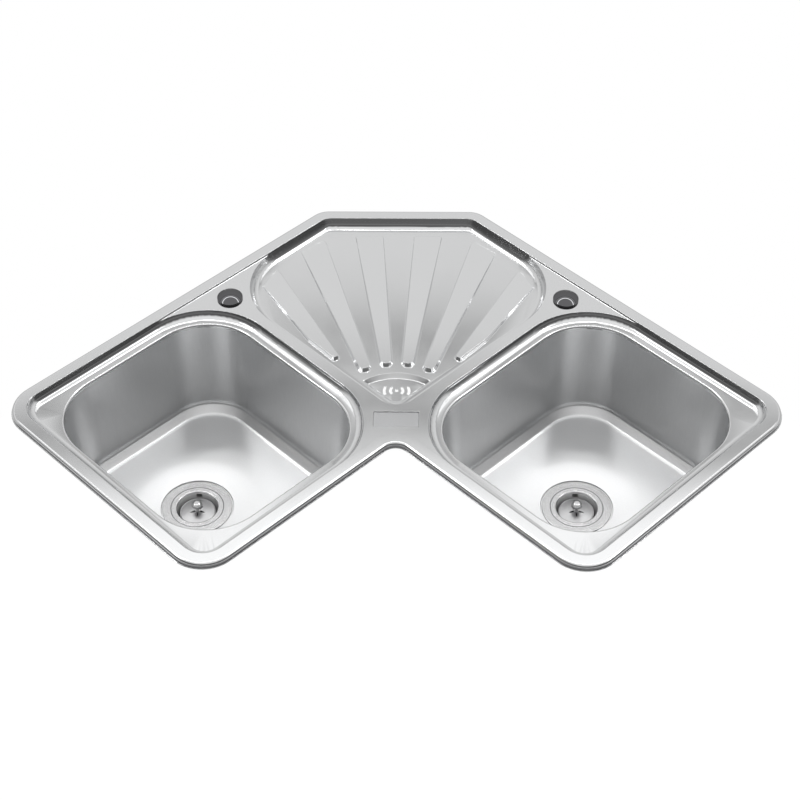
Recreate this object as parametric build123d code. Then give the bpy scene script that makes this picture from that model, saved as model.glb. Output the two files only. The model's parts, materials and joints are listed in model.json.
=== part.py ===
from build123d import *
import os
from math import atan2, cos, degrees, radians, sin, sqrt

# Corner kitchen sink: an L-shaped pressed steel deck with a fan-ribbed drainer in the corner and a
# bowl on each arm, two basket strainers, two tap-hole covers and screw clamps under the rim.
# Units are millimetres. +Z is up and Z = 0 is the worktop. The right arm runs along +X and the left
# arm along -Y, with the walls at the lowest X and the highest Y. Places on an arm are given as
# (along, across): along the arm and across it, both measured from the walls. Places on the drainer
# are given as (aside, out): sideways from the line of symmetry and out from the wall corner along it.

# ---- outline of the rim ----
ARM_LENGTH = 900.0
ARM_DEPTH = 500.0
BACK_EDGE = 278.0
END_RADIUS = 60.0
BACK_RADIUS = 38.0
NOTCH_RADIUS = 22.0

# ---- pressed sheet ----
SHEET = 1.0
RIM_HEIGHT = 10.0
RIM_EDGE_RADIUS = 5.0
FOOT_FLARE = 1.5
FOOT_HEIGHT = 1.2
RIM_WIDTH = 24.0
PLATFORM_DROP = 2.5
PLATFORM_LEAN = 30.0
PAN_LIP = 0.6
WALL_LEAN = 25.0

# ---- bowl fields: the sunk flats round the bowls ----
FIELD_DROP = 14.0
FIELD_INNER_RADIUS = 128.0
FIELD_END_RADIUS = 40.0
FIELD_FLOOR_RADIUS = 13.0

# ---- drainer ----
DRAINER_DROP = 16.6
DRAINER_START = 170.0
DRAINER_SLOPE = 0.9
DRAINER_BORDER = 46.0
DRAINER_EDGE = ARM_DEPTH - DRAINER_BORDER
DRAINER_FRONT = DRAINER_EDGE * sqrt(2)
DRAINER_SIDE_RADIUS = 125.0
DRAINER_FRONT_RADIUS = 37.0
DRAINER_BACK_RADIUS = 26.0
DRAINER_FLOOR_RADIUS = 10.0
DRAINER_CUT = 32.0

# ---- ribs of the drainer, one side of the line of symmetry, as (aside, out) corners and radii ----
RIB_DROP = 16.2
RIB_LEAN = 30.0
RIB_SINK = 9.0
INNER_RIB = [(27.5, 192), (75.5, 192), (25.5, 516), (9.5, 516)]
INNER_RIB_RADII = [4, 4, 7.5, 7.5]
MIDDLE_RIB = [(129.5, 203), (168.5, 237), (60.0, 529), (43.5, 526)]
MIDDLE_RIB_RADII = [4, 4, 7.5, 7.5]
OUTER_RIB = [(208.5, 281), (230.5, 325), (146.5, 457), (104.0, 503), (97.0, 498)]
OUTER_RIB_RADII = [4, 4, 20, 3, 3]

# ---- sump with its drain slots ----
SUMP_DROP = 28.3
SUMP_ARC_RADIUS = 100.0
SUMP_REACH = 116.4
SUMP_ARC_OUT = DRAINER_FRONT - SUMP_REACH
SUMP_BORDER = 16.0
SUMP_EDGE = DRAINER_EDGE - SUMP_BORDER
SUMP_FRONT_RADIUS = 24.0
SUMP_CORNER_RADIUS = 10.0
SUMP_LEAN = 50.0
SUMP_FLOOR_RADIUS = 2.0
SLOT_REACH = 73.9
SLOT_OUT = DRAINER_FRONT - SLOT_REACH
SLOT_WIDTH = 4.6
SLOT_CORNER_RADIUS = 1.4
SLOT_TURNS = (45.0, 225.0)
SLOT_RINGS = [(10.2, 45.0), (20.2, 27.0)]
SLOT_SCREW_RADIUS = 3.0

# ---- blank name recess ----
PLATE_WIDTH = 73.0
PLATE_HEIGHT = 35.0
PLATE_BORDER = 48.1
PLATE_OUT = ARM_DEPTH * sqrt(2) - PLATE_BORDER
PLATE_DEPTH = 1.6
PLATE_RADIUS = 2.0

# ---- where the bowl fields and the bowls start, and the tap holes beside them ----
FIELD_GAP = 17.0
FIELD_START = DRAINER_EDGE + FIELD_GAP
TAP_GAP = 7.0
TAP_ALONG = FIELD_START - TAP_GAP
TAP_ACROSS = 64.0
TAP_HOLE_RADIUS = 17.5

# ---- bowls ----
BOWL_BORDER = 25.0
BOWL_END_BORDER = 45.0
BOWL_SIDE_BORDER = 50.0
BOWL_START = FIELD_START + BOWL_BORDER
BOWL_LENGTH = ARM_LENGTH - BOWL_END_BORDER - BOWL_START
BOWL_WIDTH = ARM_DEPTH - 2 * BOWL_SIDE_BORDER
BOWL_RADIUS = 100.0
MOUTH_RADIUS = 3.0
MOUTH_TURN = 6.0
BOWL_WALL_LEAN = 4.3
BOWL_WALL_DROP = 182.0
BOWL_DROP = 196.0
FACET_RUN = 18.0
BOWL_CREASE_RADIUS = 12.0
DIP_RADIUS = 108.0
DIP = 1.6
SEAT_RADIUS = 60.0
SEAT_DEPTH = 1.8
DRAIN_HOLE_RADIUS = 45.0
LEFT_DRAIN_SHIFT = (31.0, -7.0)
RIGHT_DRAIN_SHIFT = (6.0, 12.0)

# ---- rim seal ----
SEAL_INSET = 7.5
SEAL_WIDTH = 9.0

# ---- sound pads on the bowls' end walls ----
PAD_WIDTH = 150.0
PAD_HEIGHT = 80.0
PAD_THICKNESS = 2.0
PAD_DROP = 115.0

# ---- basket strainers, heights measured from the drain seat ----
FLANGE_RADIUS = 57.5
FLANGE_GASKET = 0.8
FLANGE_GASKET_INNER = 46.0
FLANGE_THICKNESS = 1.2
FLANGE_EDGE_RADIUS = 0.8
GROOVE_RADIUS = 43.2
GROOVE_WIDTH = 1.2
GROOVE_DEPTH = 0.5
CUP_RADIUS = 33.5
CUP_WALL = 1.0
CUP_LIP_RADIUS = 2.0
CUP_DEPTH = 40.0
CONE_HEIGHT = 8.0
NECK_RADIUS = 22.4
NECK_OUTER_RADIUS = 23.9
NECK_END = 66.0
WINDOW_WIDTH = 10.0
WINDOW_TOP = 4.5
WINDOW_BOTTOM = 13.0
UNDER_GASKET = 2.0
UNDER_GASKET_INNER = 45.5
UNDER_GASKET_OUTER = 53.0
COLLAR_FLANGE_RADIUS = 54.0
COLLAR_FLANGE = 4.0
COLLAR_RADIUS = 46.0
COLLAR_HEIGHT = 20.0
COLLAR_WALL = 4.0
COLLAR_GAP = 0.3
SPIGOT_RADIUS = 8.0
SPIGOT_BORE = 5.5
SPIGOT_REACH = 82.0
SPIGOT_ROOT_RADIUS = 9.5
SPIGOT_ROOT_REACH = 58.0
COLLAR_GASKET = 3.0
BACK_NUT_HEIGHT = 9.0
BACK_NUT_RADIUS = 47.0
BACK_NUT_LUGS = 8
LUG_WIDTH = 9.0
LUG_REACH = 5.0
OUTLET_GASKET = 2.0
TAIL_RADIUS = 20.0
TAIL_WALL = 2.0
TAIL_FLANGE = 3.0
TAIL_ROOT_RADIUS = 21.0
TAIL_ROOT = 6.0
TAIL_LENGTH = 46.0
OUTLET_NUT_RADIUS = 29.0
OUTLET_NUT_GRIP = 14.0
OUTLET_NUT_LIP = 3.0
OUTLET_NUT_RIBS = 12
NUT_RIB_WIDTH = 3.0
NUT_RIB_REACH = 1.5
THREAD_GAP = 0.05

# ---- lift-out basket and its stopper ----
DISH_RADIUS = 29.7
DISH_DROP = 11.5
DISH_RISE = 3.0
DISH_SHEET = 1.0
DISH_ROLL = 1.1
STAR_POINTS = 5
STAR_INNER = 4.2
STAR_OUTER = 12.5
STAR_INNER_WIDTH = 3.8
STAR_OUTER_WIDTH = 1.6
CAGE_RADIUS = 27.0
CAGE_SHEET = 0.8
CAGE_SLOTS = 12
CAGE_SLOT_WIDTH = 5.0
CAGE_SLOT_DROP = 6.0
CAGE_SLOT_HEIGHT = 18.0
SEAT_GAP = 0.2
STEM_RADIUS = 2.5
STEM_GAP = 0.05
KNOB_RADIUS = 8.6
KNOB_HEIGHT = 7.0
KNOB_RISE = 12.0
KNOB_DOME_RADIUS = 5.0
STOPPER_RADIUS = 20.0
STOPPER_THICKNESS = 2.0
STOPPER_SEAL_RADIUS = 24.6
STOPPER_SEAL_THICKNESS = 3.0
STOPPER_TRAVEL = 6.5

# ---- tap-hole covers, heights above the platform ----
COVER_RADIUS = 21.5
COVER_HEIGHT = 8.0
COVER_EDGE_HEIGHT = 2.4
COVER_EDGE_RADIUS = 0.8
COVER_WALL = 1.4
COVER_GASKET = 1.0
COVER_GASKET_WIDTH = 3.0
COVER_GASKET_INSET = 0.5
STUD_RADIUS = 3.0
STUD_LENGTH = 26.0
WASHER_RADIUS = 23.0
WASHER_BORE = 3.3
WASHER_THICKNESS = 3.0
WING_HUB_RADIUS = 6.5
WING_HUB_HEIGHT = 9.0
WING_SPAN = 36.0
WING_THICKNESS = 3.0
WING_HEIGHT = 13.0
WING_START = 4.0
WING_CORNER_RADIUS = 4.3

# ---- clamps, heights below the bottom of the deck's mouths ----
CLAMP_STANDOFF = 12.0
CLAMP_SPREAD = 60.0
CLAMP_DROP = 3.0
BRACKET_WIDTH = 20.0
BRACKET_WALL = 1.5
BRACKET_LEG = 22.0
BRACKET_NOSE = 7.0
SCREW_RADIUS = 2.5
SCREW_GAP = 0.08
SCREW_END = 52.0
SCREW_COLLAR_RADIUS = 4.2
SCREW_COLLAR = 1.5
SCREW_PLAY = 0.3
SCREW_HEAD_RADIUS = 4.5
SCREW_HEAD = 3.5
SCREW_SLOT_WIDTH = 1.2
SCREW_SLOT_DEPTH = 1.6
CLAW_DROP = 40.0
CLAW_WIDTH = 12.0
CLAW_THICKNESS = 2.0
CLAW_BOSS_RADIUS = 4.5
CLAW_BOSS = 3.0
CLAW_REACH = 27.0
CLAW_TIP = 8.0
BOWL_NEAR = (ARM_DEPTH - BOWL_WIDTH) / 2
BOWL_FAR = BOWL_NEAR + BOWL_WIDTH
BOWL_MIDDLE = (BOWL_START + BOWL_LENGTH / 2, (BOWL_NEAR + BOWL_FAR) / 2)
# (along, across, direction of the worktop from +X, side of the stowed claw) on the right arm
CLAMPS = [
    (BOWL_MIDDLE[0] - CLAMP_SPREAD, BOWL_NEAR - CLAMP_STANDOFF, 90.0, -1),
    (BOWL_MIDDLE[0] + CLAMP_SPREAD, BOWL_NEAR - CLAMP_STANDOFF, 90.0, 1),
    (BOWL_START + BOWL_LENGTH + CLAMP_STANDOFF, BOWL_MIDDLE[1], 0.0, 1),
    (BOWL_MIDDLE[0], BOWL_FAR + CLAMP_STANDOFF, 270.0, -1),
]

HALF = ARM_LENGTH / 2
DOWN = (0, 0, -1)
MIRROR = Plane(origin=(0, 0, 0), z_dir=(1, 1, 0))
TOUCH = 0.01
FAN_LENGTH = 355.6
FAN_SCALE = (SUMP_ARC_OUT - DRAINER_START) / FAN_LENGTH


# ---- places ----
def on_arm(along, across):
    return (along - HALF, HALF - across)


def on_left_arm(along, across):
    return (across - HALF, HALF - along)


def on_drainer(aside, out):
    return ((out + aside) / sqrt(2) - HALF, HALF - (out - aside) / sqrt(2))


def on_fan(aside, out):
    """A place among the ribs, which spread and lengthen with the drainer."""
    return on_drainer(aside * FAN_SCALE, DRAINER_START + (out - DRAINER_START) * FAN_SCALE)


def mirrored(shape):
    return mirror(shape, about=MIRROR)


def below_rim(drop):
    return RIM_HEIGHT - drop


# ---- outlines: closed faces with rounded corners ----
def outline(points, radii, height):
    return Pos(0, 0, height) * make_face(FilletPolyline(*points, radius=radii, close=True))


def rim_outline(inset, height):
    """The rim's edge moved inwards by inset."""
    leg = BACK_EDGE / sqrt(2) + (sqrt(2) - 1) * inset
    end = ARM_LENGTH - inset
    side = ARM_DEPTH - inset
    points = [
        on_arm(leg, inset),
        on_arm(end, inset),
        on_arm(end, side),
        on_arm(side, side),
        on_left_arm(end, side),
        on_left_arm(end, inset),
        on_left_arm(leg, inset),
    ]
    back = BACK_RADIUS - inset
    corner = END_RADIUS - inset
    radii = [back, corner, corner, NOTCH_RADIUS + inset, corner, corner, back]
    return outline(points, radii, height)


def arm_rectangle(start, end, near, far, radii, grow, height):
    points = [
        on_arm(start - grow, near - grow),
        on_arm(end + grow, near - grow),
        on_arm(end + grow, far + grow),
        on_arm(start - grow, far + grow),
    ]
    return outline(points, [radius + grow for radius in radii], height)


def field_outline(grow, height):
    line = RIM_WIDTH - PAN_LIP
    radii = [FIELD_INNER_RADIUS, FIELD_END_RADIUS, FIELD_END_RADIUS, FIELD_INNER_RADIUS]
    end = ARM_LENGTH - line
    return arm_rectangle(FIELD_START, end, line, ARM_DEPTH - line, radii, grow, height)


def bowl_outline(grow, height):
    end = BOWL_START + BOWL_LENGTH
    return arm_rectangle(BOWL_START, end, BOWL_NEAR, BOWL_FAR, [BOWL_RADIUS] * 4, grow, height)


def drainer_outline(grow, height):
    line = RIM_WIDTH - PAN_LIP - grow
    leg = BACK_EDGE / sqrt(2) + (sqrt(2) - 1) * line
    edge = DRAINER_EDGE + grow
    points = [
        on_arm(leg, line),
        on_arm(edge, line),
        on_arm(edge, edge),
        on_left_arm(edge, line),
        on_left_arm(leg, line),
    ]
    back = DRAINER_BACK_RADIUS + grow
    side = DRAINER_SIDE_RADIUS + grow
    radii = [back, side, DRAINER_FRONT_RADIUS + grow, side, back]
    return outline(points, radii, height)


def sump_outline(grow, height):
    """The lens in front of the ribs: an arc at its back, the drainer's front edges before it."""
    edge = SUMP_EDGE + grow
    back = SUMP_ARC_OUT - SUMP_ARC_RADIUS
    points = [on_arm(edge, back / sqrt(2)), on_arm(edge, edge), on_left_arm(edge, back / sqrt(2))]
    wedge = outline(points, [1, SUMP_FRONT_RADIUS + grow, 1], 0)
    centre = on_drainer(0, SUMP_ARC_OUT + SUMP_ARC_RADIUS)
    lens = wedge & Pos(*centre) * Circle(SUMP_ARC_RADIUS + grow)
    ends = lens.vertices().filter_by(lambda v: is_lens_end(v, centre, SUMP_ARC_RADIUS + grow))
    return Pos(0, 0, height) * fillet(ends, SUMP_CORNER_RADIUS + grow)


def is_lens_end(vertex, centre, radius):
    """A corner where the arc meets an edge of the sump."""
    return abs((Vector(vertex.X, vertex.Y) - Vector(*centre)).length - radius) < TOUCH


# ---- pressed forms ----
def bottom_edges(shape):
    return shape.faces().sort_by(Axis.Z)[0].edges()


def pan(mouth, depth, lean, floor_radius):
    """A hollow whose walls lean inwards by lean degrees, with a rounded floor edge."""
    hollow = extrude(mouth, amount=depth, dir=DOWN, taper=lean)
    if not floor_radius:
        return hollow
    return fillet(bottom_edges(hollow), floor_radius)


def grown(lean):
    """How far a leaning wall's outside lies beyond its inside, measured level."""
    return SHEET / cos(radians(lean))


def drainer_floor(lower):
    """The plane of the sloping floor, or of its underside."""
    start = on_drainer(0, DRAINER_START)
    slope = radians(DRAINER_SLOPE)
    normal = (sin(slope) / sqrt(2), -sin(slope) / sqrt(2), cos(slope))
    return Plane(origin=(*start, below_rim(DRAINER_DROP) - lower), z_dir=normal)


def ribs(grow, lower):
    """The six raised panels that fan out from the sump, level on top."""
    found = []
    panels = [
        (INNER_RIB, INNER_RIB_RADII),
        (MIDDLE_RIB, MIDDLE_RIB_RADII),
        (OUTER_RIB, OUTER_RIB_RADII),
    ]
    for corners, radii in panels:
        points = [on_fan(*corner) for corner in corners]
        top = outline(points, [radius * FAN_SCALE for radius in radii], below_rim(RIB_DROP) - lower)
        if grow:
            top = offset(top, amount=-grow)
        rib = extrude(top, amount=RIB_SINK, dir=DOWN, taper=-RIB_LEAN)
        found += [rib, mirrored(rib)]
    return found


def drainer_hollow(grow, lower):
    """The drainer's inside, or with grow and lower, its outside."""
    hollow = extrude(drainer_outline(grow, RIM_HEIGHT), amount=DRAINER_CUT, dir=DOWN, taper=WALL_LEAN)
    hollow = split(hollow, bisect_by=drainer_floor(lower), keep=Keep.TOP)
    hollow = fillet(bottom_edges(hollow), DRAINER_FLOOR_RADIUS + lower)
    for rib in ribs(grow, lower):
        hollow -= rib
    top = below_rim(DRAINER_DROP)
    depth = SUMP_DROP - DRAINER_DROP + lower
    sump = pan(sump_outline(grow, top), depth, SUMP_LEAN, SUMP_FLOOR_RADIUS + lower)
    return hollow + sump


def mouth_hollow():
    top = below_rim(FIELD_DROP) + SHEET
    return extrude(bowl_outline(0, top), amount=MOUTH_TURN + 2 * SHEET, dir=DOWN)


def rounded_mouths(deck):
    """Turns the edge between each field and its mouth, above and below the sheet."""
    for grow in (0, SHEET):
        line = bowl_outline(grow, below_rim(FIELD_DROP) - grow).wire()
        other = mirrored(line)
        near = [edge for edge in deck.edges() if touches(edge, line) or touches(edge, other)]
        deck = fillet(near, MOUTH_RADIUS - grow)
    return deck


def touches(edge, line):
    return all(line.distance_to(edge @ place) < TOUCH for place in (0.1, 0.5, 0.9))


def slot(radius, half_angle, turn):
    """One curved slot, centred on the drain's screw hole."""
    ring = Circle(radius + SLOT_WIDTH / 2) - Circle(radius - SLOT_WIDTH / 2)
    reach = 2 * radius
    wedge_points = [
        (0, 0),
        (reach * cos(radians(half_angle)), reach * sin(radians(half_angle))),
        (reach * cos(radians(half_angle)), -reach * sin(radians(half_angle))),
    ]
    wedge = make_face(Polyline(*wedge_points, close=True))
    piece = ring & wedge
    piece = fillet(piece.vertices(), SLOT_CORNER_RADIUS)
    return Rot(0, 0, turn) * piece


def drain_slots():
    centre = (*on_drainer(0, SLOT_OUT), below_rim(SUMP_DROP) + SHEET)
    cuts = Circle(SLOT_SCREW_RADIUS)
    for radius, half_angle in SLOT_RINGS:
        for turn in SLOT_TURNS:
            cuts += slot(radius, half_angle, turn)
    return Pos(*centre) * extrude(cuts, amount=3 * SHEET, dir=DOWN)


def plate(grow, lower):
    """The blank recess in front of the sump."""
    centre = on_drainer(0, PLATE_OUT)
    face = RectangleRounded(PLATE_WIDTH + 2 * grow, PLATE_HEIGHT + 2 * grow, PLATE_RADIUS + grow)
    face = Pos(*centre, below_rim(PLATFORM_DROP)) * Rot(0, 0, 45) * face
    return extrude(face, amount=PLATE_DEPTH + lower, dir=DOWN, taper=WALL_LEAN)


def sink_deck():
    deck = extrude(rim_outline(FOOT_FLARE, 0), amount=RIM_HEIGHT)
    deck = fillet(deck.faces().sort_by(Axis.Z)[-1].edges(), RIM_EDGE_RADIUS)
    under = extrude(rim_outline(FOOT_FLARE + SHEET, 0), amount=RIM_HEIGHT - SHEET)
    deck -= fillet(under.faces().sort_by(Axis.Z)[-1].edges(), RIM_EDGE_RADIUS - SHEET)
    deck += extrude(rim_outline(0, 0) - rim_outline(FOOT_FLARE + SHEET / 2, 0), amount=FOOT_HEIGHT)

    wall = grown(WALL_LEAN)
    ledge = rim_outline(RIM_WIDTH - grown(PLATFORM_LEAN), RIM_HEIGHT)
    deck += extrude(ledge, amount=PLATFORM_DROP + SHEET, dir=DOWN, taper=PLATFORM_LEAN)
    field = pan(field_outline(wall, RIM_HEIGHT), FIELD_DROP + SHEET, WALL_LEAN, FIELD_FLOOR_RADIUS + SHEET)
    turn = extrude(bowl_outline(SHEET, below_rim(FIELD_DROP)), amount=MOUTH_TURN, dir=DOWN)
    for solid in (field, turn):
        deck += solid
        deck += mirrored(solid)
    deck += drainer_hollow(wall, SHEET)
    deck += plate(SHEET, SHEET)

    deck -= extrude(rim_outline(RIM_WIDTH, RIM_HEIGHT), amount=PLATFORM_DROP, dir=DOWN, taper=PLATFORM_LEAN)
    field = pan(field_outline(0, RIM_HEIGHT), FIELD_DROP, WALL_LEAN, FIELD_FLOOR_RADIUS)
    tap_hole = Pos(*on_arm(TAP_ALONG, TAP_ACROSS), 0) * Cylinder(TAP_HOLE_RADIUS, 4 * RIM_HEIGHT)
    for solid in (field, mouth_hollow(), tap_hole):
        deck -= solid
        deck -= mirrored(solid)
    deck -= drainer_hollow(0, 0)
    deck -= plate(0, 0)
    deck -= drain_slots()
    return rounded_mouths(deck)


# ---- bowls ----
MOUTH_END = below_rim(FIELD_DROP + MOUTH_TURN)
DRAIN_SEAT = below_rim(BOWL_DROP + DIP + SEAT_DEPTH)


def drain_centre(shift):
    return (BOWL_MIDDLE[0] + shift[0], BOWL_MIDDLE[1] + shift[1])


def bowl_wall(thickness, lower=0):
    """The bowl's inside down to the crease above its floor, grown by thickness."""
    mouth = bowl_outline(thickness / cos(radians(BOWL_WALL_LEAN)), MOUTH_END)
    depth = BOWL_WALL_DROP - FIELD_DROP - MOUTH_TURN
    return extrude(mouth, amount=depth + lower, dir=DOWN, taper=BOWL_WALL_LEAN)


def bowl_hollow(shift, thickness):
    """The inside of a right arm's bowl, or grown by the sheet's thickness, its outside."""
    depth = BOWL_DROP - BOWL_WALL_DROP
    lean = radians(BOWL_WALL_LEAN)
    facet_lean = atan2(FACET_RUN, depth)
    crease = thickness * (sin(lean) + sin(facet_lean)) / (1 + cos(facet_lean - lean))
    wall = bowl_wall(thickness, crease)
    foot = wall.faces().sort_by(Axis.Z)[0]
    hollow = wall + extrude(foot, amount=depth + thickness - crease, dir=DOWN, taper=degrees(facet_lean))
    low = below_rim(BOWL_WALL_DROP) + TOUCH
    creases = [edge for edge in hollow.edges() if edge.bounding_box().max.Z < low and is_level(edge)]
    hollow = fillet(creases, BOWL_CREASE_RADIUS + thickness)
    floor = Pos(*on_arm(*drain_centre(shift)), below_rim(BOWL_DROP))
    dip_lean = degrees(atan2(DIP_RADIUS - SEAT_RADIUS, DIP))
    dip = extrude(Circle(DIP_RADIUS), amount=DIP, dir=DOWN, taper=dip_lean)
    seat = Circle(SEAT_RADIUS + thickness / cos(radians(WALL_LEAN)))
    seat = extrude(seat, amount=SEAT_DEPTH + thickness, dir=DOWN, taper=WALL_LEAN)
    return hollow + floor * Pos(0, 0, -thickness) * dip + floor * Pos(0, 0, -DIP) * seat


def is_level(edge):
    return edge.bounding_box().size.Z < TOUCH


def bowl(shift):
    """A bowl of the right arm, with its drain seat shifted from the middle of the floor."""
    hole = Pos(*on_arm(*drain_centre(shift)), DRAIN_SEAT) * Cylinder(DRAIN_HOLE_RADIUS, 4 * SHEET)
    return bowl_hollow(shift, SHEET) - bowl_hollow(shift, 0) - hole


def sound_pad():
    skin = bowl_wall(SHEET + PAD_THICKNESS) - bowl_wall(SHEET)
    place = on_arm(BOWL_START + BOWL_LENGTH, BOWL_MIDDLE[1])
    return skin & Pos(*place, below_rim(PAD_DROP)) * Box(PAD_HEIGHT, PAD_WIDTH, PAD_HEIGHT)


# ---- rim seal and clamps ----
def rim_seal():
    ring = rim_outline(SEAL_INSET, 0) - rim_outline(SEAL_INSET + SEAL_WIDTH, 0)
    return extrude(ring, amount=RIM_HEIGHT - SHEET)


def bracket(place, outward):
    """An angle welded to a bowl's wall, with the hole for its clamp's screw."""
    top = MOUTH_END - CLAMP_DROP
    length = CLAMP_STANDOFF + BRACKET_NOSE
    tab = Box(length, BRACKET_WIDTH, BRACKET_WALL)
    tab = Pos(length / 2 - CLAMP_STANDOFF, 0, top - BRACKET_WALL / 2) * tab
    leg_space = Box(CLAMP_STANDOFF, BRACKET_WIDTH, BRACKET_LEG)
    leg_space = Pos(-CLAMP_STANDOFF, 0, top - BRACKET_LEG / 2) * leg_space
    hole = Pos(0, 0, top) * Cylinder(SCREW_RADIUS + SCREW_GAP, 4 * BRACKET_WALL)
    turned = Pos(*place, 0) * Rot(0, 0, outward)
    leg = bowl_wall(SHEET + BRACKET_WALL) & turned * leg_space
    return leg + turned * (tab - hole) - bowl_wall(SHEET)


def clamp_screw():
    top = MOUTH_END - CLAMP_DROP
    under = top - BRACKET_WALL
    end = MOUTH_END - SCREW_END
    screw = upright(SCREW_RADIUS, end, top + SCREW_PLAY + SCREW_COLLAR)
    screw += upright(SCREW_COLLAR_RADIUS, top + SCREW_PLAY, top + SCREW_PLAY + SCREW_COLLAR)
    screw += upright(SCREW_COLLAR_RADIUS, under - SCREW_PLAY - SCREW_COLLAR, under - SCREW_PLAY)
    screw += upright(SCREW_HEAD_RADIUS, end - SCREW_HEAD, end)
    slot_height = end - SCREW_HEAD + SCREW_SLOT_DEPTH / 2
    return screw - Pos(0, 0, slot_height) * Box(3 * SCREW_HEAD_RADIUS, SCREW_SLOT_WIDTH, SCREW_SLOT_DEPTH)


def clamp_claw():
    """A bar with a turned-up tip, reaching along +X from the screw."""
    top = MOUTH_END - CLAW_DROP
    hub = CLAW_WIDTH / 2
    bar = upright(hub, top - CLAW_THICKNESS, top)
    bar += Pos(CLAW_REACH / 2, 0, top - CLAW_THICKNESS / 2) * Box(CLAW_REACH, CLAW_WIDTH, CLAW_THICKNESS)
    tip = CLAW_TIP + CLAW_THICKNESS
    tip_middle = (CLAW_REACH - CLAW_THICKNESS / 2, 0, top - CLAW_THICKNESS + tip / 2)
    bar += Pos(*tip_middle) * Box(CLAW_THICKNESS, CLAW_WIDTH, tip)
    bar += upright(CLAW_BOSS_RADIUS, top, top + CLAW_BOSS)
    return bar - upright(SCREW_RADIUS + THREAD_GAP, top - 2 * CLAW_THICKNESS, top + 2 * CLAW_BOSS)


def upright(radius, low, high):
    return Pos(0, 0, (low + high) / 2) * Cylinder(radius, high - low)


def tube(radius, bore, low, high):
    return upright(radius, low, high) - upright(bore, low, high)


def turned_solid(points):
    """A closed (radius, height) outline turned about the Z axis."""
    return revolve(make_face(Plane.XZ * Polyline(*points, close=True)), axis=Axis.Z)


# ---- basket strainers, about the drain's axis with the drain seat at height 0 ----
FLANGE_TOP = FLANGE_GASKET + FLANGE_THICKNESS
CUP_OUTER = CUP_RADIUS + CUP_WALL
CONE_TOP = FLANGE_TOP - CUP_DEPTH
CONE_SLOPE = CONE_HEIGHT / (CUP_RADIUS - NECK_RADIUS)
COLLAR_TOP = -SHEET - UNDER_GASKET
COLLAR_END = COLLAR_TOP - COLLAR_HEIGHT
BACK_NUT_TOP = COLLAR_END - COLLAR_GASKET
TAIL_TOP = -NECK_END - OUTLET_GASKET
WALL_CORNER_TURN = 135.0
FRONT_TURN = -45.0


def cone_height(radius):
    """Height of the cup's sloping bottom at a radius."""
    return CONE_TOP - (CUP_RADIUS - radius) * CONE_SLOPE


def strainer_cup():
    drop = CUP_WALL * sqrt(1 + CONE_SLOPE**2)
    cup = turned_solid([
        (FLANGE_RADIUS, FLANGE_GASKET),
        (FLANGE_RADIUS, FLANGE_TOP),
        (CUP_RADIUS, FLANGE_TOP),
        (CUP_RADIUS, CONE_TOP),
        (NECK_RADIUS, CONE_TOP - CONE_HEIGHT),
        (NECK_RADIUS, -NECK_END),
        (NECK_OUTER_RADIUS, -NECK_END),
        (NECK_OUTER_RADIUS, cone_height(NECK_OUTER_RADIUS) - drop),
        (CUP_OUTER, cone_height(CUP_OUTER) - drop),
        (CUP_OUTER, FLANGE_GASKET),
    ])
    rings = cup.edges().filter_by(GeomType.CIRCLE).group_by(Axis.Z)[-1].sort_by(SortBy.RADIUS)
    cup = fillet(rings[-1:], FLANGE_EDGE_RADIUS)
    rings = cup.edges().filter_by(GeomType.CIRCLE).group_by(Axis.Z)[-1].sort_by(SortBy.RADIUS)
    cup = fillet(rings[:1], CUP_LIP_RADIUS)
    half_groove = GROOVE_WIDTH / 2
    groove_floor = FLANGE_TOP - GROOVE_DEPTH
    groove = tube(GROOVE_RADIUS + half_groove, GROOVE_RADIUS - half_groove, groove_floor, FLANGE_TOP)
    window_height = WINDOW_BOTTOM - WINDOW_TOP
    window = Pos(CUP_RADIUS, 0, FLANGE_TOP - WINDOW_TOP - window_height / 2)
    window *= Box(4 * CUP_WALL, WINDOW_WIDTH, window_height)
    return cup - groove - Rot(0, 0, WALL_CORNER_TURN) * window


def overflow_collar():
    collar = turned_solid([
        (CUP_OUTER + COLLAR_GAP, COLLAR_END),
        (CUP_OUTER + COLLAR_GAP, COLLAR_END + COLLAR_WALL),
        (COLLAR_RADIUS - COLLAR_WALL, COLLAR_END + COLLAR_WALL),
        (COLLAR_RADIUS - COLLAR_WALL, COLLAR_TOP),
        (COLLAR_FLANGE_RADIUS, COLLAR_TOP),
        (COLLAR_FLANGE_RADIUS, COLLAR_TOP - COLLAR_FLANGE),
        (COLLAR_RADIUS, COLLAR_TOP - COLLAR_FLANGE),
        (COLLAR_RADIUS, COLLAR_END),
    ])
    middle = (COLLAR_TOP + COLLAR_END) / 2
    start = COLLAR_RADIUS - COLLAR_WALL / 2
    spigot = level_rod(SPIGOT_ROOT_RADIUS, start, SPIGOT_ROOT_REACH)
    spigot += level_rod(SPIGOT_RADIUS, start, SPIGOT_REACH)
    towards_wall = Pos(0, 0, middle) * Rot(0, 0, WALL_CORNER_TURN)
    collar += towards_wall * spigot
    return collar - towards_wall * level_rod(SPIGOT_BORE, CUP_OUTER + COLLAR_WALL, SPIGOT_REACH)


def level_rod(radius, start, end):
    return extrude(Plane.YZ.offset(start) * Circle(radius), amount=end - start)


def back_nut():
    low = BACK_NUT_TOP - BACK_NUT_HEIGHT
    nut = upright(BACK_NUT_RADIUS, low, BACK_NUT_TOP)
    lug = Box(2 * LUG_REACH, LUG_WIDTH, BACK_NUT_HEIGHT)
    lug = Pos(BACK_NUT_RADIUS, 0, (low + BACK_NUT_TOP) / 2) * lug
    for index in range(BACK_NUT_LUGS):
        nut += Rot(0, 0, index * 360 / BACK_NUT_LUGS) * lug
    return nut - upright(CUP_OUTER + THREAD_GAP, low, BACK_NUT_TOP)


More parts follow.
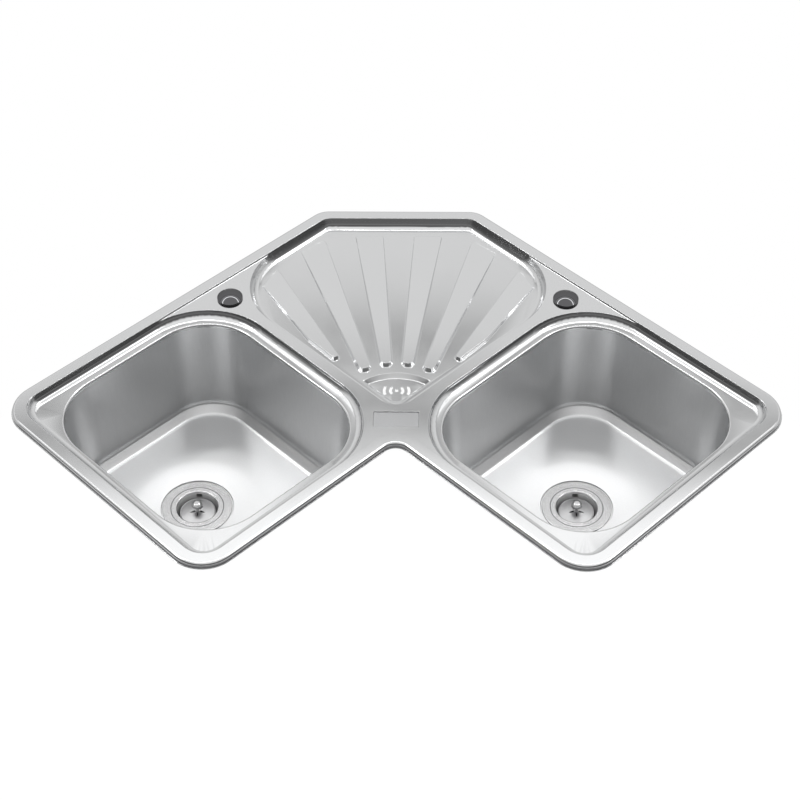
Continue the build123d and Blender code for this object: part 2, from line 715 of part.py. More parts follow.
def outlet_tail():
    seat = TAIL_TOP - TAIL_FLANGE
    tail = upright(NECK_OUTER_RADIUS, seat, TAIL_TOP) + upright(TAIL_ROOT_RADIUS, seat - TAIL_ROOT, seat)
    tail += upright(TAIL_RADIUS, seat - TAIL_LENGTH, seat)
    return tail - upright(TAIL_RADIUS - TAIL_WALL, seat - TAIL_LENGTH, TAIL_TOP)


def outlet_nut():
    seat = TAIL_TOP - TAIL_FLANGE
    high = OUTLET_NUT_GRIP - NECK_END
    low = seat - OUTLET_NUT_LIP
    nut = upright(OUTLET_NUT_RADIUS, low, high)
    rib = Box(2 * NUT_RIB_REACH, NUT_RIB_WIDTH, high - low)
    rib = Pos(OUTLET_NUT_RADIUS, 0, (low + high) / 2) * rib
    for index in range(OUTLET_NUT_RIBS):
        nut += Rot(0, 0, index * 360 / OUTLET_NUT_RIBS) * rib
    nut -= upright(NECK_OUTER_RADIUS + THREAD_GAP, seat, high)
    return nut - upright(TAIL_ROOT_RADIUS + COLLAR_GAP, low, seat)


# ---- lift-out basket ----
DISH_TOP = FLANGE_TOP - DISH_DROP
DISH_MIDDLE = DISH_TOP + DISH_RISE


def basket():
    """A low dome with a star of slots over a slotted cage that stands on the cup's sloping bottom."""
    edge = DISH_RADIUS - DISH_ROLL
    over = TangentArc((0, DISH_MIDDLE), (edge, DISH_TOP), tangent=(1, 0))
    under = Pos(0, -DISH_SHEET) * over
    side = Line(over @ 1, under @ 1)
    dish = revolve(Plane.XZ * make_face([over, side, under, Line(over @ 0, under @ 0)]), axis=Axis.Z)
    dish += Pos(0, 0, DISH_TOP - DISH_SHEET / 2) * Torus(edge, DISH_ROLL)
    for index in range(STAR_POINTS):
        dish -= Rot(0, 0, FRONT_TURN + index * 360 / STAR_POINTS) * star_slot()
    low = cone_height(CAGE_RADIUS) + SEAT_GAP * sqrt(1 + CONE_SLOPE**2)
    cage_top = DISH_MIDDLE - DISH_RISE * (CAGE_RADIUS / edge)**2 - DISH_SHEET / 2
    cage = tube(CAGE_RADIUS, CAGE_RADIUS - CAGE_SHEET, low, cage_top)
    middle = cage_top - CAGE_SLOT_DROP - CAGE_SLOT_HEIGHT / 2
    opening = Pos(CAGE_RADIUS, 0, middle) * Box(4 * CAGE_SHEET, CAGE_SLOT_WIDTH, CAGE_SLOT_HEIGHT)
    for index in range(CAGE_SLOTS):
        cage -= Rot(0, 0, index * 360 / CAGE_SLOTS) * opening
    guide = upright(STEM_RADIUS + STEM_GAP, DISH_MIDDLE - 2 * DISH_SHEET, DISH_MIDDLE + DISH_SHEET)
    return dish + cage - guide


def star_slot():
    """One slot of the star, along +X and narrower outwards."""
    corners = [
        (STAR_INNER, STAR_INNER_WIDTH / 2),
        (STAR_OUTER, STAR_OUTER_WIDTH / 2),
        (STAR_OUTER, -STAR_OUTER_WIDTH / 2),
        (STAR_INNER, -STAR_INNER_WIDTH / 2),
    ]
    face = make_face(Polyline(*corners, close=True))
    return Pos(0, 0, DISH_TOP - DISH_SHEET) * extrude(face, amount=DISH_RISE + 2 * DISH_SHEET)


SEAL_LOW = cone_height(STOPPER_SEAL_RADIUS) + SEAT_GAP * sqrt(1 + CONE_SLOPE**2) + STOPPER_TRAVEL
PLATE_LOW = SEAL_LOW + STOPPER_SEAL_THICKNESS


def stopper():
    knob_low = DISH_MIDDLE + KNOB_RISE
    knob = upright(KNOB_RADIUS, knob_low, knob_low + KNOB_HEIGHT)
    knob = fillet(knob.edges().group_by(Axis.Z)[-1], KNOB_DOME_RADIUS)
    stem = upright(STEM_RADIUS, PLATE_LOW, knob_low)
    return knob + stem + upright(STOPPER_RADIUS, PLATE_LOW, PLATE_LOW + STOPPER_THICKNESS)


# ---- tap-hole covers, about the tap hole's axis with the platform at height 0 ----
def dome(radius, low, edge, top):
    """A turned cap: an upright edge with a low dome over it."""
    crown = TangentArc((0, top), (radius, edge), tangent=(1, 0))
    sides = Polyline((radius, edge), (radius, low), (0, low), (0, top))
    face = make_face([crown, sides])
    shoulder = face.vertices().sort_by(lambda corner: corner.X + corner.Y)[-1]
    return revolve(Plane.XZ * fillet(shoulder, COVER_EDGE_RADIUS), axis=Axis.Z)


def tap_cover():
    base = COVER_GASKET
    edge = base + COVER_EDGE_HEIGHT
    top = base + COVER_HEIGHT
    cover = dome(COVER_RADIUS, base, edge, top)
    cover -= dome(COVER_RADIUS - COVER_WALL, base, edge - COVER_WALL, top - COVER_WALL)
    return cover + upright(STUD_RADIUS, -STUD_LENGTH, top - COVER_WALL)


def cover_gasket():
    outer = COVER_RADIUS - COVER_GASKET_INSET
    return tube(outer, outer - COVER_GASKET_WIDTH, 0, COVER_GASKET)


def cover_washer():
    return tube(WASHER_RADIUS, WASHER_BORE, -SHEET - WASHER_THICKNESS, -SHEET)


def wing_nut():
    top = -SHEET - WASHER_THICKNESS
    nut = upright(WING_HUB_RADIUS, top - WING_HUB_HEIGHT, top)
    wing = Box(WING_SPAN, WING_THICKNESS, WING_HEIGHT)
    wing = Pos(0, 0, top - WING_START - WING_HEIGHT / 2) * wing
    wing = fillet(wing.edges().filter_by(Axis.Y), WING_CORNER_RADIUS)
    clear = upright(WING_HUB_RADIUS, top - WING_START - WING_HEIGHT, top - WING_HUB_HEIGHT)
    nut += wing - clear
    return nut - upright(STUD_RADIUS + THREAD_GAP, top - WING_START - WING_HEIGHT, top)


# ---- the whole object ----
def write(node, shape):
    export_step(shape, f"parts/{node}.step")


def write_strainer(side, centre):
    pieces = {
        "strainer_cup": strainer_cup(),
        "flange_gasket": tube(FLANGE_RADIUS - FLANGE_EDGE_RADIUS, FLANGE_GASKET_INNER, 0, FLANGE_GASKET),
        "under_gasket": tube(UNDER_GASKET_OUTER, UNDER_GASKET_INNER, COLLAR_TOP, -SHEET),
        "overflow_collar": overflow_collar(),
        "collar_gasket": tube(COLLAR_RADIUS, CUP_OUTER + COLLAR_GAP, BACK_NUT_TOP, COLLAR_END),
        "back_nut": back_nut(),
        "outlet_gasket": tube(NECK_OUTER_RADIUS, TAIL_RADIUS - TAIL_WALL, TAIL_TOP, -NECK_END),
        "outlet_tail": outlet_tail(),
        "outlet_nut": outlet_nut(),
        "basket": basket(),
        "stopper": stopper(),
        "stopper_seal": upright(STOPPER_SEAL_RADIUS, SEAL_LOW, PLATE_LOW),
    }
    for name, piece in pieces.items():
        write(f"{side}_{name}", Pos(*centre, DRAIN_SEAT) * piece)


def write_cover(side, centre):
    pieces = {
        "tap_cover": tap_cover(),
        "cover_gasket": cover_gasket(),
        "cover_washer": cover_washer(),
        "wing_nut": wing_nut(),
    }
    for name, piece in pieces.items():
        write(f"{side}_{name}", Pos(*centre, below_rim(PLATFORM_DROP)) * piece)


def write_clamps():
    brackets = [bracket(on_arm(along, across), outward) for along, across, outward, side in CLAMPS]
    write("clamp_brackets", Compound(brackets + [mirrored(shape) for shape in brackets]))
    for index, (along, across, outward, side) in enumerate(CLAMPS, 1):
        stowed = Pos(*on_arm(along, across), 0) * Rot(0, 0, outward + 90 * side)
        for name, piece in (("claw", stowed * clamp_claw()), ("screw", stowed * clamp_screw())):
            write(f"clamp_{name}_{index}", piece)
            write(f"clamp_{name}_{index + len(CLAMPS)}", mirrored(piece))


def build():
    os.makedirs("parts", exist_ok=True)
    write("sink_deck", sink_deck())
    write("rim_seal", rim_seal())
    write("right_bowl", bowl(RIGHT_DRAIN_SHIFT))
    write("left_bowl", mirrored(bowl(LEFT_DRAIN_SHIFT)))
    write("right_sound_pad", sound_pad())
    write("left_sound_pad", mirrored(sound_pad()))
    write_clamps()
    write_strainer("right", on_arm(*drain_centre(RIGHT_DRAIN_SHIFT)))
    write_strainer("left", on_left_arm(*drain_centre(LEFT_DRAIN_SHIFT)))
    write_cover("right", on_arm(TAP_ALONG, TAP_ACROSS))
    write_cover("left", on_left_arm(TAP_ALONG, TAP_ACROSS))


build()
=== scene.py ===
import json
from math import cos, radians, sin

import bmesh
import bpy
from mathutils import Matrix, Vector

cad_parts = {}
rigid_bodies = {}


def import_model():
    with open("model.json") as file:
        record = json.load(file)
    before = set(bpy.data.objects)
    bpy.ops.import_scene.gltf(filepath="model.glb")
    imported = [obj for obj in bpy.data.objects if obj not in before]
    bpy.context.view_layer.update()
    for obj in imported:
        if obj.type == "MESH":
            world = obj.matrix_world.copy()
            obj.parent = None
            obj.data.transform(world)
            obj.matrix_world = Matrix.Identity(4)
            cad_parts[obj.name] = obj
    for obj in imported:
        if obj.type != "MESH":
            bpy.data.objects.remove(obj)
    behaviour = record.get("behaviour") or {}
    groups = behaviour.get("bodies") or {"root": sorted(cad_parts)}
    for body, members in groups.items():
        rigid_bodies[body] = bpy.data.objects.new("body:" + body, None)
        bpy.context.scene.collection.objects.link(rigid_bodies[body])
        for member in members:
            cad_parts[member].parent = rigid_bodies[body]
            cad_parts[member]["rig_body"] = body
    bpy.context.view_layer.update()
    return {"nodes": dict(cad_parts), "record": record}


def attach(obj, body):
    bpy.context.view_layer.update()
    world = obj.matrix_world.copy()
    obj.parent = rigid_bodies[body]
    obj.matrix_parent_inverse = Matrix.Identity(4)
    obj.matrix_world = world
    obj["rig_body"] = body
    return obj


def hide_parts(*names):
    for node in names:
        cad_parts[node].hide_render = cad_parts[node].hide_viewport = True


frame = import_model()
MM = 0.001

# ---- the camera ----
CAMERA_AZIMUTH = 45.62
CAMERA_ELEVATION = 44.61
CAMERA_ROLL = -0.156
CAMERA_DISTANCE = 3020.7 * MM
CAMERA_LENS = 85.38
CAMERA_SENSOR = 36.0
CAMERA_TARGET = Vector((-8.6, 17.0, 10.0)) * MM

# ---- the room: strength of its light by how high a direction points, behind the sink and before it ----
TO_FRONT = Vector((1.0, -1.0, 0.0)).normalized()
TO_SIDE = Vector((1.0, 1.0, 0.0)).normalized()
ROOM_STEPS = (
    (0.0, 0.45), (0.5, 0.74), (0.686, 0.78), (0.695, 0.5), (0.7045, 0.22),
    (0.714, 0.46), (0.727, 0.88), (0.742, 1.2), (0.77, 1.2), (0.8, 0.95),
    (0.822, 0.95), (0.833, 6.5), (0.853, 6.5), (0.864, 0.9), (0.95, 0.9),
)
FRONT_STEPS = (
    (0.0, 0.08), (0.12, 0.08), (0.2, 0.17), (0.34, 0.17),
    (0.44, 0.08), (0.66, 0.14), (0.75, 0.4), (0.92, 0.9),
)
FRONT_FADE = (-0.15, 0.2)
FLOOR_FADE = (-0.12, -0.3)
FLOOR_LIGHT = 0.7
SOFT_LIGHT = 0.95
SEEN_LIGHT = 1.0

# ---- the worktop round the sink ----
ARM_LENGTH = 900.0 * MM
ARM_DEPTH = 500.0 * MM
HALF = ARM_LENGTH / 2
WORKTOP_INSET = 20.0 * MM
WORKTOP_MARGIN = 620.0 * MM
WORKTOP_THICKNESS = 0.3 * MM
WORKTOP_JOINT = 0.01 * MM
WORKTOP_COLOUR = (0.9, 0.9, 0.9, 1.0)
WORKTOP_ROUGHNESS = 0.6
WORKTOP_GLOW = 1.06
WORKTOP_GLOW_SHARE = 0.85

# ---- the drains: their places in plan, and their parts by radius and height ----
DRAINS = ((-207.0 * MM, -256.5 * MM), (231.5 * MM, 188.0 * MM))
GROOVE_RADIUS = 43.4 * MM
# painted shade: a dark line drawn along the pressed groove, with its fade and colour
GROOVE_SHADE_FADE = (1.1 * MM, 0.5 * MM)
GROOVE_SHADE_COLOUR = (0.3, 0.3, 0.305)
CUP_RADIUS = 33.5 * MM
CUP_LIP_BOTTOM = -189.0 * MM
# painted light: the cup's inner wall is pale and mostly non-metal, standing in for its bright reflection
CUP_WALL_LIGHT_COLOUR = (0.8, 0.8, 0.8)
CUP_WALL_LIGHT_METAL = 0.15
DISH_RADIUS = 29.7 * MM
DISH_FADE = (0.5 * MM, 1.5 * MM)
# painted shade: the dish is darker grey than the rest of the strainer; its added roughness is a real duller
# finish
DISH_SHADE_COLOUR = (0.5, 0.5, 0.505)
DISH_DULLER = 0.2
TURNING_SCALE = 2200.0
TURNING_DETAIL = 1.0
TURNING_RELIEF = 0.06 * MM
TURNED_ROUNDING = 0.5 * MM
TURNED_SPREAD = 0.04

# ---- the blank recess, from the plan's middle towards the front ----
RECESS_AHEAD = 22.6 * MM
RECESS_HALF_LENGTH = 36.5 * MM
RECESS_HALF_WIDTH = 17.5 * MM
RECESS_COLOUR = (0.49, 0.495, 0.5)
RECESS_DULLER = 0.14

# ---- the deck's upright walls, darkened as painted shade: how upright they are, and between which heights they lie ----
WALL_UPRIGHT = (0.55, 0.2)
WALL_TOP = (9.2 * MM, 7.5 * MM)
WALL_BOTTOM = (0.4 * MM, 1.8 * MM)
WALL_SHADE_COLOUR = (0.16, 0.16, 0.165)

# ---- the grain and wear of every finish ----
GRAIN_SCALE = 2600.0
GRAIN_DETAIL = 2.0
CLOUD_SCALE = 9.0
CLOUD_DETAIL = 3.0
GRAIN_SPAN = (0.3, 0.7)
GRAIN_RELIEF = 0.2 * MM
STEEL_DARKER = 0.93
TURNED_DARKER = 0.95
PLAIN_DARKER = 0.85
PLAIN_SPREAD = 0.1
WEAR_RADIUS = 0.8 * MM
WEAR_TURN = (1.0, 0.75)
WEAR_SAMPLES = 4
ROUNDING_SAMPLES = 8

# ---- joining the triangles of the carried-over pieces ----
SMOOTH_ANGLE = 35.0
JOIN_DISTANCE = 0.001 * MM
SLIVER_LENGTH = 0.0001 * MM
NORMAL_WEIGHT = 100


class Shader:
    """The node tree of a material, a world or a node group, with short calls for its nodes."""

    def __init__(self, tree):
        self.tree = tree

    def node(self, kind, **settings):
        made = self.tree.nodes.new(kind)
        for name, value in settings.items():
            setattr(made, name, value)
        return made

    def link(self, source, target):
        if isinstance(source, (int, float)):
            target.default_value = source
        else:
            self.tree.links.new(source, target)

    def maths(self, operation, first, second=0.0, clamp=False):
        made = self.node("ShaderNodeMath", operation=operation, use_clamp=clamp)
        self.link(first, made.inputs[0])
        self.link(second, made.inputs[1])
        return made.outputs[0]

    def ramp(self, value, low, high, to_low=0.0, to_high=1.0):
        made = self.node("ShaderNodeMapRange", interpolation_type="SMOOTHSTEP")
        self.link(value, made.inputs["Value"])
        made.inputs["From Min"].default_value = low
        made.inputs["From Max"].default_value = high
        made.inputs["To Min"].default_value = to_low
        made.inputs["To Max"].default_value = to_high
        return made.outputs["Result"]

    def mix(self, factor, first, second):
        made = self.node("ShaderNodeMix", data_type="RGBA")
        self.link(factor, made.inputs["Factor"])
        for value, socket in ((first, made.inputs["A"]), (second, made.inputs["B"])):
            if isinstance(value, tuple):
                socket.default_value = (*value, 1.0)
            else:
                self.link(value, socket)
        return made.outputs["Result"]

    def place(self):
        return self.node("ShaderNodeTexCoord").outputs["Object"]

    def split(self, vector):
        parts = self.node("ShaderNodeSeparateXYZ")
        self.link(vector, parts.inputs[0])
        return parts.outputs

    def along(self, vector, way):
        """How far a vector reaches along a fixed way."""
        reach = self.node("ShaderNodeVectorMath", operation="DOT_PRODUCT")
        self.link(vector, reach.inputs[0])
        reach.inputs[1].default_value = way
        return reach.outputs["Value"]


def new_group(name, inputs, outputs):
    tree = bpy.data.node_groups.new(name, "ShaderNodeTree")
    for label, value in inputs:
        tree.interface.new_socket(label, in_out="INPUT", socket_type="NodeSocketFloat").default_value = value
    for label in outputs:
        tree.interface.new_socket(label, in_out="OUTPUT", socket_type="NodeSocketFloat")
    shader = Shader(tree)
    return shader, shader.node("NodeGroupInput"), shader.node("NodeGroupOutput")


def new_material(name):
    material = bpy.data.materials.new(name)
    material.use_nodes = True
    shader = Shader(material.node_tree)
    surface = material.node_tree.nodes["Principled BSDF"]
    return material, shader, surface


def place_group(shader, group, **values):
    made = shader.node("ShaderNodeGroup", node_tree=group)
    for label, value in values.items():
        shader.link(value, made.inputs[label.replace("_", " ")])
    return made


# ---- effects that more than one finish can use ----
def make_turned_group():
    """Circles about the two drains: the marks of turning, the pressed groove with its painted shade, the dish
    and the cup's wall.
    """
    shader, _, result = new_group("turned circles", (), ("Marks", "Groove Shade", "Dish", "Cup Wall"))
    parts = shader.split(shader.place())
    reaches = []
    for across, along in DRAINS:
        aside = shader.maths("POWER", shader.maths("SUBTRACT", parts["X"], across), 2.0)
        ahead = shader.maths("POWER", shader.maths("SUBTRACT", parts["Y"], along), 2.0)
        reaches.append(shader.maths("SQRT", shader.maths("ADD", aside, ahead)))
    radius = shader.maths("MINIMUM", *reaches)
    marks = shader.node("ShaderNodeTexNoise", noise_dimensions="1D")
    marks.inputs["Scale"].default_value = TURNING_SCALE
    marks.inputs["Detail"].default_value = TURNING_DETAIL
    shader.link(radius, marks.inputs["W"])
    off = shader.maths("ABSOLUTE", shader.maths("SUBTRACT", radius, GROOVE_RADIUS))
    below = shader.ramp(parts["Z"], CUP_LIP_BOTTOM, CUP_LIP_BOTTOM - MM)
    within = shader.ramp(radius, CUP_RADIUS + MM, CUP_RADIUS)
    outside_dish = shader.ramp(radius, DISH_RADIUS + DISH_FADE[0], DISH_RADIUS + DISH_FADE[1])
    wall = shader.maths("MULTIPLY", shader.maths("MULTIPLY", within, outside_dish), below)
    dish = shader.maths("MULTIPLY", shader.maths("SUBTRACT", 1.0, outside_dish), below)
    shader.link(marks.outputs[0], result.inputs["Marks"])
    # the groove's mask, where the dark line of painted shade goes
    shader.link(shader.ramp(off, *GROOVE_SHADE_FADE), result.inputs["Groove Shade"])
    shader.link(dish, result.inputs["Dish"])
    shader.link(wall, result.inputs["Cup Wall"])
    return shader.tree


def make_grain_group():
    """Rolled-sheet grain: fine specks, slow clouding, and the specks once more as a height."""
    inputs = (("Fine Scale", GRAIN_SCALE), ("Cloud Scale", CLOUD_SCALE), ("Stretch", 1.0))
    shader, given, result = new_group("sheet grain", inputs, ("Speck", "Cloud", "Height"))
    place = shader.place()
    squeeze = shader.node("ShaderNodeCombineXYZ")
    shader.link(1.0, squeeze.inputs["X"])
    shader.link(1.0, squeeze.inputs["Y"])
    shader.link(given.outputs["Stretch"], squeeze.inputs["Z"])
    stretched = shader.node("ShaderNodeVectorMath", operation="MULTIPLY")
    shader.link(place, stretched.inputs[0])
    shader.link(squeeze.outputs[0], stretched.inputs[1])
    fine = shader.node("ShaderNodeTexNoise")
    fine.inputs["Detail"].default_value = GRAIN_DETAIL
    shader.link(stretched.outputs[0], fine.inputs["Vector"])
    shader.link(given.outputs["Fine Scale"], fine.inputs["Scale"])
    cloud = shader.node("ShaderNodeTexNoise")
    cloud.inputs["Detail"].default_value = CLOUD_DETAIL
    shader.link(place, cloud.inputs["Vector"])
    shader.link(given.outputs["Cloud Scale"], cloud.inputs["Scale"])
    shader.link(fine.outputs[0], result.inputs["Speck"])
    shader.link(cloud.outputs[0], result.inputs["Cloud"])
    shader.link(fine.outputs[0], result.inputs["Height"])
    return shader.tree


def make_edge_group():
    """Marks the edges that stand out, where plating rubs bright."""
    inputs = (("Radius", WEAR_RADIUS), ("Strength", 1.0))
    shader, given, result = new_group("rubbed edge", inputs, ("Mask",))
    rounded = shader.node("ShaderNodeBevel", samples=WEAR_SAMPLES)
    shader.link(given.outputs["Radius"], rounded.inputs["Radius"])
    flat = shader.node("ShaderNodeNewGeometry").outputs["Normal"]
    alike = shader.node("ShaderNodeVectorMath", operation="DOT_PRODUCT")
    shader.link(rounded.outputs[0], alike.inputs[0])
    shader.link(flat, alike.inputs[1])
    turned = shader.ramp(alike.outputs["Value"], *WEAR_TURN)
    mask = shader.maths("MULTIPLY", turned, given.outputs["Strength"], clamp=True)
    shader.link(mask, result.inputs["Mask"])
    return shader.tree


GRAIN = make_grain_group()
TURNED = make_turned_group()
EDGE = make_edge_group()


def add_bump(shader, surface, height, strength, distance, rounding=0.0):
    """A fine relief on the surface, over edges that are rounded by the given radius."""
    bump = shader.node("ShaderNodeBump")
    if rounding:
        rounded = shader.node("ShaderNodeBevel", samples=ROUNDING_SAMPLES)
        rounded.inputs["Radius"].default_value = rounding
        shader.link(rounded.outputs[0], bump.inputs["Normal"])
    bump.inputs["Strength"].default_value = strength
    bump.inputs["Distance"].default_value = distance
    shader.link(height, bump.inputs["Height"])
    shader.link(bump.outputs[0], surface.inputs["Normal"])


def uneven(shader, value, middle, spread):
    """A roughness that wanders about its middle with the grain."""
    return shader.ramp(value, *GRAIN_SPAN, middle - spread / 2, middle + spread / 2)


# ---- marks on the deck ----
def blank_recess(shader, place):
    """Where the blank recess lies, whose floor is etched dull."""
    shares = []
    for way, middle, half in (
        (TO_SIDE, 0.0, RECESS_HALF_LENGTH),
        (TO_FRONT, RECESS_AHEAD, RECESS_HALF_WIDTH),
    ):
        off = shader.maths("ABSOLUTE", shader.maths("SUBTRACT", shader.along(place, way), middle))
        shares.append(shader.ramp(off, half, half - MM))
    return shader.maths("MULTIPLY", *shares)


def upright_wall_shade(shader, place):
    """Where the deck's walls stand upright between the worktop and the rim's top; these walls are darkened as
    painted shade.
    """
    height = shader.split(place)["Z"]
    outward = shader.split(shader.node("ShaderNodeNewGeometry").outputs["Normal"])["Z"]
    upright = shader.ramp(shader.maths("ABSOLUTE", outward), *WALL_UPRIGHT)
    low = shader.ramp(height, *WALL_TOP)
    above = shader.ramp(height, *WALL_BOTTOM)
    return shader.maths("MULTIPLY", shader.maths("MULTIPLY", upright, low), above)


# ---- finishes ----
def steel(
    name, colour, roughness, bump, spread=0.05, fine=GRAIN_SCALE, stretch=1.0, rounding=0.0, deck=False
):
    """Sheet or plated steel with grain in its colour, roughness and surface; on the deck also the dull blank
    recess and painted shade on the upright walls.
    """
    material, shader, surface = new_material(name)
    surface.inputs["Metallic"].default_value = 1.0
    grain = place_group(shader, GRAIN, Fine_Scale=fine, Stretch=stretch)
    darker = tuple(channel * STEEL_DARKER for channel in colour)
    tint = shader.mix(grain.outputs["Speck"], darker, colour)
    rough = uneven(shader, grain.outputs["Cloud"], roughness, spread)
    if deck:
        place = shader.place()
        recess = blank_recess(shader, place)
        tint = shader.mix(recess, tint, RECESS_COLOUR)
        rough = shader.maths("ADD", rough, shader.maths("MULTIPLY", recess, RECESS_DULLER))
        # painted shade: the deck's upright walls are darkened nearly to black
        tint = shader.mix(upright_wall_shade(shader, place), tint, WALL_SHADE_COLOUR)
    shader.link(tint, surface.inputs["Base Color"])
    shader.link(rough, surface.inputs["Roughness"])
    add_bump(shader, surface, grain.outputs["Height"], bump, GRAIN_RELIEF, rounding)
    return material


def turned_steel(name, colour, roughness, marks):
    """Polished pressings with the fine circles of turning, rougher on the dish, with painted shade in the
    groove and on the dish, and painted light on the cup's pale wall.
    """
    material, shader, surface = new_material(name)
    circles = place_group(shader, TURNED)
    grain = place_group(shader, GRAIN)
    tint = shader.mix(grain.outputs["Speck"], tuple(channel * TURNED_DARKER for channel in colour), colour)
    # painted shade in the groove and on the dish, and painted light on the cup's wall
    for part, shade in (("Groove Shade", GROOVE_SHADE_COLOUR), ("Dish", DISH_SHADE_COLOUR), ("Cup Wall", CUP_WALL_LIGHT_COLOUR)):
        tint = shader.mix(circles.outputs[part], tint, shade)
    rough = uneven(shader, grain.outputs["Cloud"], roughness, TURNED_SPREAD)
    rough = shader.maths("ADD", rough, shader.maths("MULTIPLY", circles.outputs["Dish"], DISH_DULLER))
    # the cup's wall is made mostly non-metal, so its pale colour shows as painted light
    metal = shader.ramp(circles.outputs["Cup Wall"], 0.0, 1.0, 1.0, CUP_WALL_LIGHT_METAL)
    shader.link(tint, surface.inputs["Base Color"])
    shader.link(metal, surface.inputs["Metallic"])
    shader.link(rough, surface.inputs["Roughness"])
    add_bump(shader, surface, circles.outputs["Marks"], marks, TURNING_RELIEF, TURNED_ROUNDING)
    return material


def plain(name, colour, roughness, bump=0.1, fine=900.0, metallic=0.0, wear=None):
    """Rubber, plastic or plated steel, with a fine moulded or plated texture."""
    material, shader, surface = new_material(name)
    surface.inputs["Metallic"].default_value = metallic
    grain = place_group(shader, GRAIN, Fine_Scale=fine)
    darker = tuple(channel * PLAIN_DARKER for channel in colour)
    tint = shader.mix(grain.outputs["Cloud"], darker, colour)
    if wear:
        edge = place_group(shader, EDGE)
        tint = shader.mix(edge.outputs["Mask"], tint, wear)
    shader.link(tint, surface.inputs["Base Color"])
    rough = uneven(shader, grain.outputs["Speck"], roughness, PLAIN_SPREAD)
    shader.link(rough, surface.inputs["Roughness"])
    add_bump(shader, surface, grain.outputs["Height"], bump, GRAIN_RELIEF)
    return material


DARK_CHROME = steel("dark chrome", (0.14, 0.14, 0.145), 0.03, bump=0.004, spread=0.02)
FINISHES = {
    "deck_steel": steel(
        "satin deck steel", (0.84, 0.845, 0.85), 0.095, bump=0.008, spread=0.03, rounding=0.9 * MM, deck=True
    ),
    "bowl_steel": steel("drawn bowl steel", (0.85, 0.855, 0.86), 0.3, bump=0.004, fine=400.0, stretch=0.08),
    "strainer_steel": turned_steel("turned strainer steel", (0.64, 0.64, 0.645), 0.16, 0.6),
    "chrome": steel("bright chrome", (0.66, 0.66, 0.665), 0.16, bump=0.004, spread=0.02),
    "zinc_steel": plain("zinc plated steel", (0.55, 0.56, 0.57), 0.38, metallic=1.0, wear=(0.75, 0.76, 0.77)),
    "rubber": plain("black rubber", (0.035, 0.035, 0.036), 0.7),
    "foam": plain("closed foam", (0.10, 0.10, 0.10), 0.9, bump=0.5, fine=2500.0),
    "bitumen": plain("bitumen pad", (0.06, 0.06, 0.062), 0.85, bump=0.6, fine=500.0),
    "white_plastic": plain("white moulded plastic", (0.80, 0.80, 0.79), 0.4),
    "grey_plastic": plain("grey moulded plastic", (0.22, 0.22, 0.23), 0.45),
}


# ---- pieces carried over from the frame, smoothed ----
def smooth_copy(node, material):
    """A piece with the node's own shape, its triangles joined and its curved walls shaded smooth."""
    source = frame["nodes"][node]
    mesh = bpy.data.meshes.new(node + "_look")
    shape = bmesh.new()
    shape.from_mesh(source.data)
    bmesh.ops.remove_doubles(shape, verts=shape.verts, dist=JOIN_DISTANCE)
    bmesh.ops.dissolve_degenerate(shape, edges=shape.edges, dist=SLIVER_LENGTH)
    for edge in shape.edges:
        edge.smooth = len(edge.link_faces) != 2 or edge.calc_face_angle(0.0) < radians(SMOOTH_ANGLE)
    for face in shape.faces:
        face.smooth = True
    shape.to_mesh(mesh)
    shape.free()
    piece = bpy.data.objects.new(node + "_look", mesh)
    bpy.context.scene.collection.objects.link(piece)
    piece.data.materials.append(material)
    weighted = piece.modifiers.new("weighted", "WEIGHTED_NORMAL")
    weighted.keep_sharp = True
    weighted.weight = NORMAL_WEIGHT
    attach(piece, source["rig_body"])
    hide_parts(node)


def carry_over():
    for subpart in frame["record"]["subparts"]:
        node, slot = subpart["node"], subpart["material_slot"]
        finish = DARK_CHROME if node.endswith("tap_cover") else FINISHES[slot]
        smooth_copy(node, finish)


# ---- worktop, world and camera ----
def worktop_material():
    """White to the camera and in reflections, while it keeps a trace of the sink's shadow."""
    material, shader, surface = new_material("white worktop")
    surface.inputs["Base Color"].default_value = WORKTOP_COLOUR
    surface.inputs["Roughness"].default_value = WORKTOP_ROUGHNESS
    glow = shader.node("ShaderNodeEmission")
    glow.inputs["Strength"].default_value = WORKTOP_GLOW
    path = shader.node("ShaderNodeLightPath")
    seen = shader.maths("ADD", path.outputs["Is Camera Ray"], path.outputs["Is Glossy Ray"])
    seen = shader.maths("ADD", seen, path.outputs["Is Transmission Ray"], clamp=True)
    both = shader.node("ShaderNodeMixShader")
    shader.link(shader.maths("MULTIPLY", seen, WORKTOP_GLOW_SHARE), both.inputs[0])
    shader.link(surface.outputs[0], both.inputs[1])
    shader.link(glow.outputs[0], both.inputs[2])
    output = shader.tree.nodes["Material Output"]
    shader.link(both.outputs[0], output.inputs["Surface"])
    return material


def slab(shape, across, along, length, width):
    """One flat panel of the worktop, from its lowest corner in plan."""
    corner = Vector((across, along, -WORKTOP_THICKNESS))
    size = Vector((length, width, WORKTOP_THICKNESS))
    made = bmesh.ops.create_cube(shape, size=1.0)["verts"]
    placing = Matrix.Translation(corner + size / 2) @ Matrix.Diagonal((*size, 1.0))
    bmesh.ops.transform(shape, matrix=placing, verts=made)


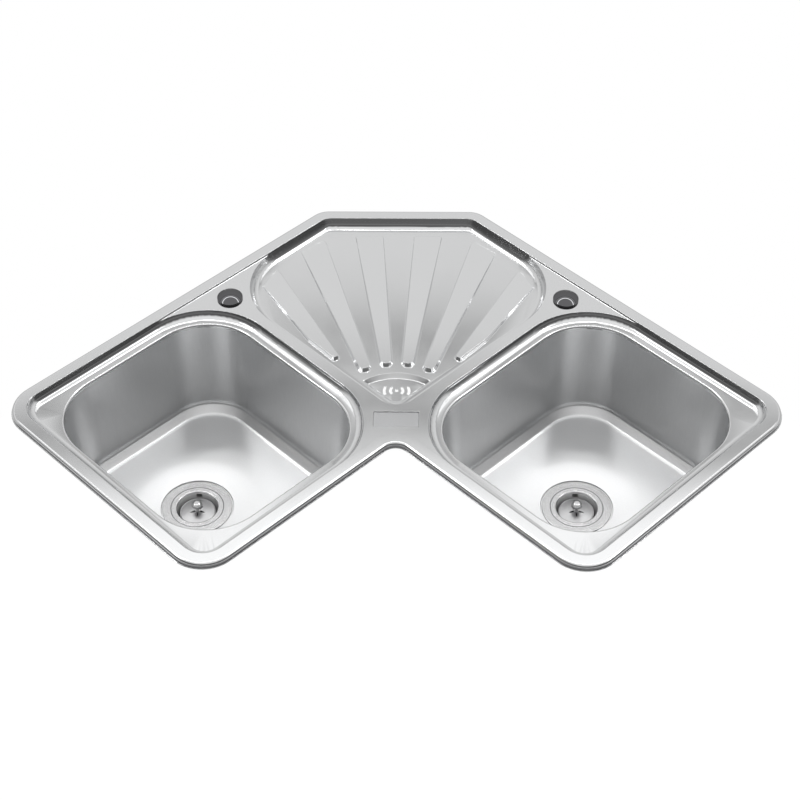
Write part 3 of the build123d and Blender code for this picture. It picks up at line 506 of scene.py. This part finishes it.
def build_worktop():
    """The worktop that shows in front of the sink and at its arms' ends."""
    shape = bmesh.new()
    end = HALF - WORKTOP_INSET
    front = HALF - ARM_DEPTH + WORKTOP_INSET
    reach = WORKTOP_MARGIN + WORKTOP_INSET
    arm = ARM_DEPTH - 2 * WORKTOP_INSET
    slab(shape, end, front + WORKTOP_JOINT, reach, arm)
    slab(shape, -front, front - reach, end + front + reach, reach)
    slab(shape, -front, -end - reach, reach, end + front)
    slab(shape, -end, -end - reach, arm - WORKTOP_JOINT, reach)
    mesh = bpy.data.meshes.new("worktop")
    shape.to_mesh(mesh)
    shape.free()
    worktop = bpy.data.objects.new("worktop", mesh)
    bpy.context.scene.collection.objects.link(worktop)
    worktop.data.materials.append(worktop_material())


def light_by_height(shader, height, steps):
    """The room's light by height. A ramp starts with two stops; all are placed, and then coloured."""
    made = shader.node("ShaderNodeValToRGB")
    shader.link(height, made.inputs[0])
    stops = made.color_ramp.elements
    for step, (place, _) in enumerate(steps):
        stop = stops[step] if step < 2 else stops.new(place)
        stop.position = place
    for place, strength in steps:
        near = min(stops, key=lambda stop: abs(stop.position - place))
        near.color = (strength, strength, strength, 1.0)
    return made.outputs[0]


def blend(shader, share, first, second):
    """A strength between two others."""
    made = shader.node("ShaderNodeMix", data_type="FLOAT")
    shader.link(share, made.inputs["Factor"])
    shader.link(first, made.inputs[2])
    shader.link(second, made.inputs[3])
    return made.outputs[0]


def build_world():
    """A white room with a dark gap and a strip light behind the sink, dim before it, and a pale floor."""
    world = bpy.data.worlds.new("white room")
    bpy.context.scene.world = world
    world.use_nodes = True
    shader = Shader(world.node_tree)
    background = world.node_tree.nodes["Background"]
    way = shader.node("ShaderNodeTexCoord").outputs["Generated"]
    height = shader.split(way)["Z"]
    path = shader.node("ShaderNodeLightPath")
    strength = blend(
        shader,
        shader.ramp(shader.along(way, TO_FRONT), *FRONT_FADE),
        light_by_height(shader, height, ROOM_STEPS),
        light_by_height(shader, height, FRONT_STEPS),
    )
    strength = blend(shader, shader.ramp(height, *FLOOR_FADE), strength, FLOOR_LIGHT)
    strength = blend(shader, path.outputs["Is Diffuse Ray"], strength, SOFT_LIGHT)
    strength = blend(shader, path.outputs["Is Camera Ray"], strength, SEEN_LIGHT)
    shader.link(strength, background.inputs["Strength"])
    background.inputs["Color"].default_value = (1.0, 1.0, 1.0, 1.0)


def build_camera():
    azimuth, elevation, roll = (radians(a) for a in (CAMERA_AZIMUTH, CAMERA_ELEVATION, CAMERA_ROLL))
    back = Vector((sin(azimuth) * cos(elevation), -cos(azimuth) * cos(elevation), sin(elevation)))
    data = bpy.data.cameras.new("photographer")
    data.lens = CAMERA_LENS
    data.sensor_width = CAMERA_SENSOR
    camera = bpy.data.objects.new("photographer", data)
    bpy.context.scene.collection.objects.link(camera)
    right = Vector((0.0, 0.0, 1.0)).cross(back).normalized()
    level_up = back.cross(right)
    across = right * cos(roll) + level_up * sin(roll)
    up = back.cross(across)
    turn = Matrix((across, up, back)).transposed().to_4x4()
    camera.matrix_world = Matrix.Translation(CAMERA_TARGET + back * CAMERA_DISTANCE) @ turn
    bpy.context.scene.camera = camera


def build():
    bpy.context.scene.view_settings.view_transform = "Standard"
    carry_over()
    build_worktop()
    build_world()
    build_camera()


build()
